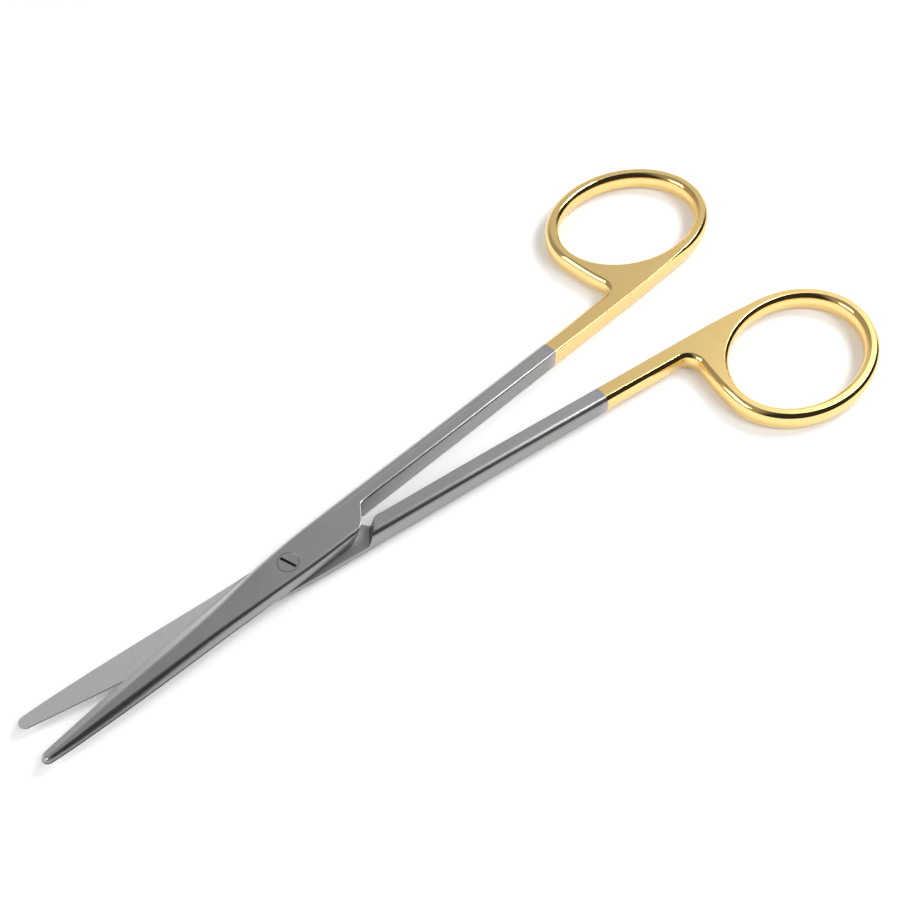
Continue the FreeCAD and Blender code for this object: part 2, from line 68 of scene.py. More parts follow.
# Sizes of one half in millimetres, in its own closed frame: the pivot axis is Z, the ring
# lies towards +X, the outer side faces +Y and the parting plane is z = 0. First its heights,
# then places along it
JOINT_TOP = 2.55
RING_TOP = 2.2
TIP_TOP = 1.02
RUNNING_GAP = 0.01
TIP_X = -52.3
ROUND_BACK_X = -22.0
NECK_X = -5.0
CROTCH_X = 18.0
SOFT_FADE_X = 50.0
HEEL_X = 88.0

# Land: the upright foot of a wall, at the cutting edge and everywhere else
EDGE_LAND = 0.30
PLAIN_LAND = 0.06

# Softening of the flat's edge, at most a share of the flat's width, and the rim inside it
SOFTENING = 0.6
SOFT_SHARE = 0.3
HEEL_SOFTENING = 0.12
RING_SOFTENING = 0.14
TIP_SOFTENING = 0.12
WALL_SOFTENING = 0.25
FLAT_RIM = 0.03

# Forms of a wall: how far its pole lies from foot to edge along x and y, and in height
DOME = (0.06, 0.06, 0.66)
BEVELLED = (0.5, 0.5, 0.5)
ROUND_BACK = (0.2, 0.2, 0.45)
STRAIGHT = (0.85, 0.85, 0.85)
LAP_CORNER_FORM = (0.33, 0.06, 0.66)
SHOULDER_CORNER_FORM = (0.44, 0.06, 0.66)

# Sections of blade and lap: x, edge, bevel, crown, back, turn
BLADE = (
    (-54.0, 1.18, 1.22, 0.0, 0.60, 0.30),
    (-47.0, 1.80, 1.62, 0.0, 1.35, 0.85),
    (-37.0, 2.60, 2.00, 0.0, 2.02, 1.15),
    (-26.0, 3.33, 2.40, 0.0, 2.54, 1.05),
    (-15.0, 3.86, 2.30, 0.1, 2.96, 0.85),
    (-5.0, 4.10, 1.50, 0.6, 3.50, 0.60),
    (3.0, 4.18, 1.02, 1.0, 4.00, 0.68),
    (11.0, 4.20, 0.98, 1.0, 4.15, 0.58),
    (18.0, 4.18, 0.98, 1.0, 4.15, 0.55),
)
# Sections of the shank: x, edge, bevel, inner wall
SHANK = (
    (18.0, 4.18, 0.98, 0.40),
    (45.0, 3.93, 0.95, 0.12),
    (88.0, 3.90, 0.95, 0.12),
    (130.0, 3.90, 0.95, 0.12),
)

# Joint: leaning walls of the lap and of the shoulder
WALL_X = 16.75
WALL_Y = 0.4
WALL_LEAN = 1.1
LAP_SLOPE = math.radians(50.5)
LAP_CORNER = 5.5
LAP_LOW = -4.2
LAP_BACK_X = 12.5
LAP_BACK_INWARD = (-0.3, 1.0)
CROTCH_INWARD = (-0.5, 1.0)
SHOULDER_RUN = 2.7
SHOULDER_RISE = 4.3
SHOULDER_ROUND = 1.8
SHOULDER_INWARD = (1.8, -1.0)

# Where the shank's inner wall, its outer side and the blade's back run out at the joint
WALL_START_X = 19.8
SIDE_END_X = 17.4
BACK_END_X = 10.8

# Tip of the blade: its half circle in plan and the oval end of its flat. The turns, in
# degrees, are the cutting edge, where the back's form is full, and the back
TIP_RADIUS = 1.17
TIP_CENTRE = (-51.13, 0.26)
TIP_FLAT_CENTRE = (-51.13, -0.22)
TIP_FLAT = (0.35, 0.28)
TIP_EDGE_TURN, TIP_FULL_TURN, TIP_BACK_TURN = 90.0, 150.0, 270.0

# Finger ring, its centre line and its section
RING_CENTRE = (110.4, 15.5)
RING_MAJOR = 17.95
RING_MINOR = 13.65
RING_TILT = math.radians(-11.0)
RING_FLAT = 0.6
RING_BULGE = 0.95
WEB_TURN = 98.0
WEB_TURN_END = 121.0

# Notch between shank and ring: the flat's edge beside it
NOTCH_RADIUS = 3.4
NOTCH_CENTRE = (89.48, 6.35)
NOTCH_END = math.radians(4.65)
RIM_BOW = 0.2

# Holes for the screw, each from the outer face in, as radius and height
UPPER_HOLE = ((2.04, 2.55), (2.0, 2.51), (2.0, 1.43), (1.29, 1.43), (1.29, RUNNING_GAP))
LOWER_HOLE = ((1.35, 2.55), (1.25, 2.45), (1.25, RUNNING_GAP))

# How finely the outline is divided: distances in millimetres, the tip's turn in degrees,
# shares of the shoulder's wall and of its rounding, and counts
BLADE_STEP = 0.7
JOINT_STEP = 0.9
SHANK_STEP = 1.6
HEEL_STEP = 0.8
TIP_STEP = 10.0
SHOULDER_SHARES = (0.3, 0.55, 0.8, 1.0)
SHOULDER_STEP = 0.14
LAP_STEPS = 16
NOTCH_STEPS = 16
RIM_STEPS = 12
RING_STEPS = 150
ROUND_STEPS = 72

# Steps up the walls, as shares of the curve: the land lies below them, the rim above
CURVE_STEPS = (0.15, 0.3, 0.42, 0.5, 0.56, 0.62, 0.68, 0.74, 0.8, 0.86, 0.93, 1.0)
LAST_STEP = len(CURVE_STEPS) + 2
CREASE = math.radians(32)
MERGE = 0.0005

# Plating: where the gold starts along each half, how wide its edge is, and the stain before it
GOLD_START = 70.6 * MM
GOLD_EDGE = 0.15 * MM
STAIN_WIDTH = 2.6 * MM

# Where each finish and each painted shade starts and is full: how level a face is, how far it
# lies from the parting plane, how high the painted rim shade reaches above it, and where the
# cross-ground inner face of the blade ends at the lap
FLAT_FACES = (0.93, 0.99)
SIDE_FACES = (0.35, 0.80)
INNER_FACES = (0.85, 0.95)
OFF_PARTING = (0.05 * MM, 0.15 * MM)
RIM_SHADE_REACH = (0.25 * MM, 0.40 * MM)
LAP_START = (-11.0 * MM, -6.0 * MM)

# Grain as scale, detail and stretch: lines along the half, lines across it, and clouding
BRUSHING = (9000.0, 4.0, (0.04, 1.0, 1.0))
GRINDING = (7000.0, 3.0, (1.0, 0.03, 1.0))
CLOUDING = (160.0, 2.0)
BUMP_HEIGHT = 0.004 * MM
STEEL_BUMP = 0.35
GOLD_BUMP = (0.02, 0.15)

# Colours and roughness of the halves; two values are the ends that noise or level blends
SATIN = ((0.46, 0.46, 0.465, 1), (0.54, 0.54, 0.545, 1))
# Painted shade: side walls darker than the satin top
SHADED_SIDE_STEEL = (0.38, 0.375, 0.37, 1)
# Painted shade: a dark rim along the blade's side walls at the parting plane
PARTING_RIM_SHADE = (0.10, 0.10, 0.10, 1)
# Painted shade: the lap's bearing face, between the halves, darker than the satin
SHADED_BEARING_STEEL = (0.34, 0.34, 0.35, 1)
# Cross-ground inner face: its grain is real, its brighter colour a painted sheen
GROUND_STEEL_SHEEN = ((0.70, 0.705, 0.71, 1), (0.97, 0.975, 0.98, 1))
STAIN = (0.50, 0.46, 0.51, 1)
GOLD = ((0.94, 0.67, 0.26, 1), (1.0, 0.74, 0.32, 1))
SATIN_ROUGH = (0.24, 0.36)
GROUND_ROUGH = 0.38
SIDE_ROUGH = 0.44
GOLD_ROUGH = (0.08, 0.30)

# The screw: its head's face lies above the slot, whose walls and floor carry painted shade
HEAD_FACE = (5.1 * MM - 0.20 * MM, 5.1 * MM - 0.03 * MM)
SLOT_SHADE = (0.10, 0.10, 0.10, 1)
TURNED_STEEL = ((0.44, 0.44, 0.445, 1), (0.52, 0.52, 0.525, 1))
TURNED_ROUGH = (0.24, 0.38)
TURNED_CLOUDING = (900.0, 3.0)
TURNED_GRAIN = 9000.0
TURNED_BUMP = 0.3

# Floor: its colour, and the little that it adds for what sees it
FLOOR_REACH = 3.0
FLOOR_COLOUR = (0.92, 0.92, 0.92, 1)
FLOOR_ROUGH = 0.9
FLOOR_GLOW = 0.10

# Room: level ways to its near and far side, where each light starts and is full, and its tones
NEAR_SIDE = (0.2, -0.98)
FAR_SIDE = (0.637, 0.771)
NEAR_LIMITS = (0.02, 0.40)
FAR_LIMITS = (0.3, 0.95)
GLOW_HEIGHT = (0.1, 0.6)
ACROSS_LIMITS = (-0.1, 0.7)
ROOM_LEFT = (0.34, 0.34, 0.345, 1)
ROOM_RIGHT = (0.60, 0.60, 0.605, 1)
ROOM_GLOW = (0.72, 0.72, 0.72, 1)
ROOM_DARK = (0.03, 0.03, 0.032, 1)

# Lamps: name, place, side and power, and whether the metal mirrors them. The last one is hidden
# from the metal and gives the floor its second soft shadow
SOFTBOXES = (
    ("key_softbox", (0.59, -0.08, 0.60), 0.30, 3.2, True),
    ("left_softbox", (-0.59, 0.17, 0.46), 0.50, 2.4, True),
    ("floor_softbox", (0.22, -0.50, 0.62), 0.40, 3.2, False),
)

# One place on the outline of a half: where its wall stands, the edge of the flat above it,
# the direction in from that edge, and the form of the wall between them
Station = namedtuple("Station", "foot edge inward land lean soft top")


def between(stations, x):
    """Values at x of a table of stations, on a smooth curve through them."""
    last = len(stations) - 2
    here = max(0, min(last, sum(1 for s in stations[1:-1] if s[0] <= x)))
    low, high = stations[here], stations[here + 1]
    before = stations[max(0, here - 1)]
    after = stations[min(last + 1, here + 2)]
    span = high[0] - low[0]
    share = (x - low[0]) / span
    values = []
    for column in range(1, len(low)):
        rise_low = (high[column] - before[column]) / (high[0] - before[0]) * span
        rise_high = (after[column] - low[column]) / (after[0] - low[0]) * span
        a, b = low[column], high[column]
        curve = (
            (2 * share**3 - 3 * share**2 + 1) * a
            + (share**3 - 2 * share**2 + share) * rise_low
            + (3 * share**2 - 2 * share**3) * b
            + (share**3 - share**2) * rise_high
        )
        values.append(curve)
    return values


def ramp(amount, start, end):
    """0 at start, 1 at end, smooth between them."""
    share = max(0.0, min(1.0, (amount - start) / (end - start)))
    return share * share * (3 - 2 * share)


def flat_height(x):
    """Height of the outer face above the parting plane."""
    if x < NECK_X:
        return TIP_TOP + (JOINT_TOP - TIP_TOP) * (x - TIP_X) / (NECK_X - TIP_X)
    if x < CROTCH_X:
        return JOINT_TOP
    if x < HEEL_X:
        return JOINT_TOP + (RING_TOP - JOINT_TOP) * (x - CROTCH_X) / (HEEL_X - CROTCH_X)
    return RING_TOP


def spread(start, end, step):
    """Evenly spaced values from start to end, about a step apart."""
    count = max(1, round(abs(end - start) / step))
    return [start + (end - start) * k / count for k in range(count + 1)]


def softening(x, width):
    """Softening of the flat's edge at x, on a flat of that width."""
    share = ramp(x, SOFT_FADE_X, HEEL_X)
    full = SOFTENING * (1 - share) + HEEL_SOFTENING * share
    return min(full, SOFT_SHARE * width)


def shank_side(x):
    """Outer, domed side of the shank."""
    edge, bevel, wall = between(SHANK, x)
    soft = softening(x, edge - bevel - wall)
    return Station((x, edge), (x, edge - bevel), (0, -1), PLAIN_LAND, DOME, soft, flat_height(x))


def shank_wall(x):
    """Inner, flat wall of the shank."""
    edge, bevel, wall = between(SHANK, x)
    soft = softening(x, edge - bevel - wall)
    return Station((x, wall), (x, wall), (0, 1), PLAIN_LAND, DOME, soft, flat_height(x))


def blade_edge(x):
    """Cutting edge of the blade, and the outer side of the lap behind it."""
    edge, bevel, crown, back, turn = between(BLADE, x)
    soft = min(SOFTENING, SOFT_SHARE * (edge - bevel + back - turn))
    lean = Vector(BEVELLED).lerp(Vector(DOME), crown)
    return Station((x, edge), (x, edge - bevel), (0, -1), EDGE_LAND, lean, soft, flat_height(x))


def blade_back(x):
    """Back of the blade, and the inner side of the lap behind it."""
    edge, bevel, _, back, turn = between(BLADE, x)
    soft = min(SOFTENING, SOFT_SHARE * (edge - bevel + back - turn))
    lean = Vector(DOME).lerp(Vector(ROUND_BACK), ramp(-x, -NECK_X, -ROUND_BACK_X))
    return Station((x, -back), (x, turn - back), (0, 1), PLAIN_LAND, lean, soft, flat_height(x))


def blade_tip():
    """Blunt tip, from the cutting edge round to the back."""
    stations = []
    for turn in spread(TIP_EDGE_TURN, TIP_BACK_TURN, TIP_STEP)[1:-1]:
        angle = math.radians(turn)
        round_share = ramp(turn, TIP_EDGE_TURN, TIP_FULL_TURN)
        out = Vector((math.cos(angle), math.sin(angle)))
        foot = Vector(TIP_CENTRE) + TIP_RADIUS * out
        edge = Vector(TIP_FLAT_CENTRE) + Vector((TIP_FLAT[0] * out.x, TIP_FLAT[1] * out.y))
        lean = Vector(BEVELLED).lerp(Vector(ROUND_BACK), round_share)
        land = EDGE_LAND + (PLAIN_LAND - EDGE_LAND) * round_share
        stations.append(
            Station(foot, edge, -out, land, lean, TIP_SOFTENING, flat_height(edge.x)))
    return stations


def ring_stations(outward, angles):
    """Places round the ring: on its outer side with outward 1, in the finger hole with -1."""
    turn = Matrix.Rotation(RING_TILT, 2)
    stations = []
    for angle in angles:
        middle = Vector((RING_MAJOR * math.cos(angle), RING_MINOR * math.sin(angle)))
        out = Vector((RING_MINOR * math.cos(angle), RING_MAJOR * math.sin(angle))).normalized()
        middle = Vector(RING_CENTRE) + turn @ middle
        out = outward * (turn @ out)
        foot = middle + (RING_FLAT + RING_BULGE) * out
        bulge = RING_BULGE
        if outward > 0 and out.y < 0:
            bulge = RING_BULGE * ramp(foot.x, WEB_TURN, WEB_TURN_END)
        stations.append(
            Station(foot, foot - bulge * out, -out, PLAIN_LAND, DOME, RING_SOFTENING, RING_TOP)
        )
    return stations


def notch_stations(ring_end):
    """Rim from the ring's left side down to the notch and round it to the shank."""
    centre = Vector(NOTCH_CENTRE)
    arc = []
    for turn in spread(NOTCH_END, -math.pi / 2, (math.pi / 2 + NOTCH_END) / NOTCH_STEPS):
        out = Vector((math.cos(turn), math.sin(turn)))
        edge = centre + NOTCH_RADIUS * out
        foot = centre + (NOTCH_RADIUS - RING_BULGE) * out
        arc.append(Station(foot, edge, out, PLAIN_LAND, DOME, RING_SOFTENING, RING_TOP))
    rim = []
    for share in spread(0.0, 1.0, 1 / RIM_STEPS)[1:-1]:
        bow = Vector((-RIM_BOW * math.sin(math.pi * share), 0))
        rim.append(arc[0]._replace(
            foot=ring_end.foot.lerp(arc[0].foot, share) + bow,
            edge=ring_end.edge.lerp(arc[0].edge, share) + bow))
    return rim + arc


def lap_rear():
    """Leaning rear wall of the lap, from the back's corner up to the crotch."""
    slope = Vector((math.cos(LAP_SLOPE), math.sin(LAP_SLOPE)))
    stations = []
    reach = (WALL_Y - LAP_LOW) / slope.y
    tangent = LAP_CORNER * math.tan(LAP_SLOPE / 2)
    corner = Vector((WALL_X, WALL_Y)) - reach * slope
    centre = corner + tangent * Vector((-1, 0)) + Vector((0, LAP_CORNER))

    def wall_path(low_y, shift):
        """Points on the rounded wall above low_y, moved back by the lean."""
        first = math.acos(1 - (low_y - LAP_LOW) / LAP_CORNER)
        arc = [centre + LAP_CORNER * Vector((math.sin(a), -math.cos(a)))
               for a in spread(first, LAP_SLOPE, (LAP_SLOPE - first) / (LAP_STEPS / 2))]
        straight = [Vector((WALL_X, WALL_Y)) - (reach - tangent) * (1 - k * 2 / LAP_STEPS) * slope
                    for k in range(1, LAP_STEPS // 2 + 1)]
        return [p + Vector((shift, 0)) for p in arc + straight]

    _, _, _, back, turn = between(BLADE, LAP_BACK_X)
    feet = wall_path(-back, 0.0)
    edges = wall_path(turn - back, WALL_LEAN)
    inward = Vector((-slope.y, slope.x))
    for number, (foot, edge) in enumerate(zip(feet, edges)):
        direction = inward
        form = STRAIGHT
        if number == 0:
            direction = Vector(LAP_BACK_INWARD)
            form = LAP_CORNER_FORM
        if number == len(feet) - 1:
            direction = Vector(CROTCH_INWARD)
        stations.append(
            Station(foot, edge, direction, PLAIN_LAND, form, WALL_SOFTENING, JOINT_TOP)
        )
    return stations


def shoulder():
    """Leaning wall of the other layer, from the shank's outer side to the crotch."""
    slope = Vector((SHOULDER_RUN, -SHOULDER_RISE)).normalized()
    corner = Vector((WALL_X, WALL_Y))
    side = between(SHANK, CROTCH_X)
    outer_foot = corner - slope * (side[0] - WALL_Y) / -slope.y
    outer_edge = corner - slope * (side[0] - side[1] - WALL_Y) / -slope.y + Vector((WALL_LEAN, 0))
    turned = math.acos(slope.x)
    tangent = SHOULDER_ROUND * math.tan(turned / 2)
    inward = Vector((-slope.y, slope.x))
    start = corner - tangent * slope
    stations = [
        Station(outer_foot, outer_edge, Vector(SHOULDER_INWARD), PLAIN_LAND,
                SHOULDER_CORNER_FORM, WALL_SOFTENING, JOINT_TOP)
    ]
    for share in SHOULDER_SHARES:
        foot = outer_foot.lerp(start, share)
        edge = outer_edge.lerp(start + Vector((WALL_LEAN, 0)), share)
        stations.append(
            Station(foot, edge, inward, PLAIN_LAND, STRAIGHT, WALL_SOFTENING, JOINT_TOP))
    centre = start + SHOULDER_ROUND * inward
    for share in spread(0.0, 1.0, SHOULDER_STEP)[1:]:
        turn = turned * share
        out = -inward
        out.rotate(Matrix.Rotation(turn, 2))
        foot = centre + SHOULDER_ROUND * out
        edge = foot + Vector((WALL_LEAN, 0))
        soft = WALL_SOFTENING + (SOFTENING - WALL_SOFTENING) * share
        stations.append(Station(foot, edge, -out, PLAIN_LAND, STRAIGHT, soft, JOINT_TOP))
    return stations


def wall_point(station, step):
    """Place on a station's wall: steps 0 and 1 are the land, the last one lies on the flat."""
    foot, edge, inward = Vector(station.foot), Vector(station.edge), Vector(station.inward)
    if step < 2:
        height = (RUNNING_GAP, max(station.land, RUNNING_GAP))[step]
        return Vector((foot.x, foot.y, height))
    if step == LAST_STEP:
        end = edge + inward * (station.soft + FLAT_RIM)
        return Vector((end.x, end.y, station.top))
    poles = [
        Vector((*foot, station.land)),
        Vector((
            foot.x + (edge.x - foot.x) * station.lean[0],
            foot.y + (edge.y - foot.y) * station.lean[1],
            station.land + (station.top - station.land) * station.lean[2],
        )),
        Vector((*edge, station.top)),
        Vector((*(edge + inward * station.soft), station.top)),
    ]
    middle = (poles[1] + poles[2]) / 2
    share = CURVE_STEPS[step - 2] * 2
    start, control, end = poles[0], poles[1], middle
    if share > 1:
        share -= 1
        start, control, end = middle, poles[2], poles[3]
    return start.lerp(control, share).lerp(control.lerp(end, share), share)


def new_edges(made):
    """The far edges and corners of what an extrusion made."""
    corners = [part for part in made["geom"] if isinstance(part, bmesh.types.BMVert)]
    fresh = set(corners)
    edges = [
        part for part in made["geom"]
        if isinstance(part, bmesh.types.BMEdge) and fresh.issuperset(part.verts)
    ]
    return edges, corners


def raise_wall(bm, stations, layer, edges, side):
    """Extrudes an outline up its wall, step by step; side is 1 upwards and -1 downwards."""
    number = bm.verts.layers.int[layer]
    for step in range(1, LAST_STEP + 1):
        edges, corners = new_edges(bmesh.ops.extrude_edge_only(bm, edges=edges))
        for corner in corners:
            place = wall_point(stations[corner[number]], step)
            corner.co = (place.x, place.y, side * place.z)
    return edges


def chain(bm, stations, numbers, closed=True):
    """Corners and edges along the feet of stations."""
    up = bm.verts.layers.int["up"]
    down = bm.verts.layers.int["down"]
    corners = []
    for number in numbers:
        corner = bm.verts.new(wall_point(stations[number], 0))
        corner[up] = number
        corner[down] = number
        corners.append(corner)
    ends = corners[1:] + corners[:1] if closed else corners[1:]
    return corners, [bm.edges.new(pair) for pair in zip(corners, ends)]


def fill_flat(bm, edges, kinks=()):
    """Fills a flat between outlines, with a line across it where its slope changes."""
    rim = {corner for edge in edges for corner in edge.verts}
    lines = [
        bm.edges.new(sorted((corner for corner in rim if abs(corner.co.x - x) < MERGE),
                            key=lambda corner: corner.co.y))
        for x in kinks
    ]
    limits = (-math.inf, *kinks, math.inf)
    for low, high in zip(limits, limits[1:]):
        region = [
            edge for edge in edges + lines
            if all(low - MERGE < corner.co.x < high + MERGE for corner in edge.verts)
        ]
        bmesh.ops.triangle_fill(
            bm, use_beauty=False, use_dissolve=False, edges=region, normal=(0, 0, 1)
        )


def bore(bm, profile):
    """Round hole through the half, from its outer face; gives its first and last circle."""
    radius, height = profile[0]
    made = bmesh.ops.create_circle(
        bm, segments=ROUND_STEPS, radius=radius, matrix=Matrix.Translation((0, 0, height))
    )
    edges = list(dict.fromkeys(edge for corner in made["verts"] for edge in corner.link_edges))
    first = edges
    for next_radius, next_height in profile[1:]:
        edges, corners = new_edges(bmesh.ops.extrude_edge_only(bm, edges=edges))
        for corner in corners:
            share = next_radius / radius
            corner.co = (corner.co.x * share, corner.co.y * share, next_height)
        radius = next_radius
    return first, edges


def half_outline():
    """Stations round a half in three runs: from the crotch along the shank and round the ring
    to the joint, from there round the blade to the lap's rear wall, and along the shoulder."""
    shoulder_wall = shoulder()
    crotch_end = shoulder_wall[-1]
    ring_low = math.atan2(-math.cos(RING_TILT) / RING_MAJOR, -math.sin(RING_TILT) / RING_MINOR)
    ring_left = math.pi + math.atan2(
        -math.sin(RING_TILT) / RING_MAJOR, math.cos(RING_TILT) / RING_MINOR)
    ring = ring_stations(1, spread(ring_low, ring_left, (ring_left - ring_low) / RING_STEPS))
    wall = [shank_wall(x) for x in spread(WALL_START_X, HEEL_X, SHANK_STEP)]
    web = []
    for x in spread(HEEL_X, ring[0].foot.x, HEEL_STEP)[1:-1]:
        plain = shank_wall(x)
        rise = RING_BULGE * ramp(x, WEB_TURN, WEB_TURN_END)
        web.append(plain._replace(
            edge=(x, plain.foot[1] + rise), soft=HEEL_SOFTENING, top=RING_TOP))
    notch = notch_stations(ring[-1])
    side = [shank_side(x) for x in spread(NOTCH_CENTRE[0], HEEL_X, HEEL_STEP)[1:]]
    side += [shank_side(x) for x in spread(HEEL_X, SIDE_END_X, SHANK_STEP)[1:]]
    corner_x = shoulder_wall[0].foot.x
    edge = [blade_edge(x) for x in spread(corner_x, NECK_X, JOINT_STEP)]
    edge += [blade_edge(x) for x in spread(NECK_X, TIP_CENTRE[0], BLADE_STEP)[1:]]
    back = [blade_back(x) for x in spread(TIP_CENTRE[0], NECK_X, BLADE_STEP)]
    back += [blade_back(x) for x in spread(NECK_X, BACK_END_X, JOINT_STEP)[1:]]
    rear_wall = [crotch_end] + wall + web + ring + notch + side
    front = edge + blade_tip() + back + lap_rear()
    return rear_wall, front, shoulder_wall[:-1]


def model_half(holes):
    """One half in its own closed frame, in millimetres, as a closed shell."""
    rear, front, shoulder_wall = half_outline()
    hole = ring_stations(-1, spread(0.0, 2 * math.pi, 2 * math.pi / RING_STEPS)[:-1])
    stations = rear + front + shoulder_wall + hole
    bm = bmesh.new()
    bm.verts.layers.int.new("up")
    down = bm.verts.layers.int.new("down")
    starts = [len(rear), len(rear) + len(front), len(rear) + len(front) + len(shoulder_wall)]
    corners, outline = chain(bm, stations, range(starts[1]))
    rear_edges = outline[:starts[0]]
    front_edges = outline[starts[0]:]
    # The corner that blade and shoulder share: upwards it is the blade's first station,
    # downwards the shoulder's
    first_shoulder = corners[starts[0]]
    first_shoulder[down] = starts[1]
    inner, wall_edges = chain(bm, stations, range(starts[1] + 1, starts[2]), closed=False)
    wall_edges.append(bm.edges.new((first_shoulder, inner[0])))
    wall_edges.append(bm.edges.new((inner[-1], corners[0])))
    _, finger_hole = chain(bm, stations, range(starts[2], len(stations)))
    bore_top, bore_foot = bore(bm, holes)

    top = raise_wall(bm, stations, "up", outline, 1)
    top_hole = raise_wall(bm, stations, "up", finger_hole, 1)
    under = raise_wall(bm, stations, "down", rear_edges + wall_edges, -1)
    under_hole = raise_wall(bm, stations, "down", finger_hole, -1)
    fill_flat(bm, top + top_hole + bore_top, (NECK_X, HEEL_X))
    fill_flat(bm, under + under_hole, (HEEL_X,))
    fill_flat(bm, front_edges + wall_edges + bore_foot)
    bmesh.ops.remove_doubles(bm, verts=bm.verts, dist=MERGE)
    bmesh.ops.recalc_face_normals(bm, faces=bm.faces)
    return bm


def finish_half(node, body, material, holes, placing):
    """Puts a modelled half where its CAD node is, and rides it on its body."""
    bm = model_half(holes)
    bmesh.ops.transform(bm, matrix=placing, verts=bm.verts)
    mesh = bpy.data.meshes.new(node + "_finished")
    bm.to_mesh(mesh)
    bm.free()
    mesh.shade_smooth()
    mesh.set_sharp_from_angle(angle=CREASE)
    mesh.materials.append(material)
    piece = bpy.data.objects.new(node + "_finished", mesh)
    bpy.context.scene.collection.objects.link(piece)
    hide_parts(node)
    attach(piece, body)


def new_material(name):
    """A material with an empty node tree, its shader and its output."""
    material = bpy.data.materials.new(name)
    material.use_nodes = True
    nodes = material.node_tree.nodes
    nodes.clear()
    output = nodes.new("ShaderNodeOutputMaterial")
    shader = nodes.new("ShaderNodeBsdfPrincipled")
    material.node_tree.links.new(shader.outputs["BSDF"], output.inputs["Surface"])
    return material, shader


def add_node(tree, kind, inputs=(), **settings):
    """Adds a node, sets its properties and fills or links its inputs."""
    node = tree.nodes.new(kind)
    for name, setting in settings.items():
        setattr(node, name, setting)
    for key, source in dict(inputs).items():
        socket = node.inputs[key]
        if isinstance(source, bpy.types.NodeSocket):
            tree.links.new(source, socket)
        else:
            socket.default_value = source
    return node


def calculate(tree, operation, first, second=0.0, third=0.0, clamp=False):
    """One step of arithmetic."""
    node = add_node(tree, "ShaderNodeMath", {0: first, 1: second, 2: third}, operation=operation)
    node.use_clamp = clamp
    return node.outputs[0]


def step_up(tree, amount, start, end):
    """0 below start, 1 above end, smooth between them."""
    node = add_node(
        tree,
        "ShaderNodeMapRange",
        {"Value": amount, "From Min": start, "From Max": end},
        interpolation_type="SMOOTHSTEP",
    )
    return node.outputs["Result"]


def blend_numbers(tree, share, first, second):
    """A number between two numbers."""
    inputs = {0: share, 2: first, 3: second}
    node = add_node(tree, "ShaderNodeMix", inputs, data_type="FLOAT")
    return node.outputs[0]


def blend_colours(tree, share, first, second):
    """A colour between two colours."""
    inputs = {0: share, 6: first, 7: second}
    node = add_node(tree, "ShaderNodeMix", inputs, data_type="RGBA")
    return node.outputs[2]


def noise(tree, place, scale, detail=3.0, stretch=(1.0, 1.0, 1.0)):
    """Noise on Object coordinates, stretched along the axes."""
    mapping = add_node(tree, "ShaderNodeMapping", {"Vector": place, "Scale": stretch})
    texture = add_node(
        tree,
        "ShaderNodeTexNoise",
        {"Vector": mapping.outputs["Vector"], "Scale": scale, "Detail": detail},
    )
    return texture.outputs["Fac"]


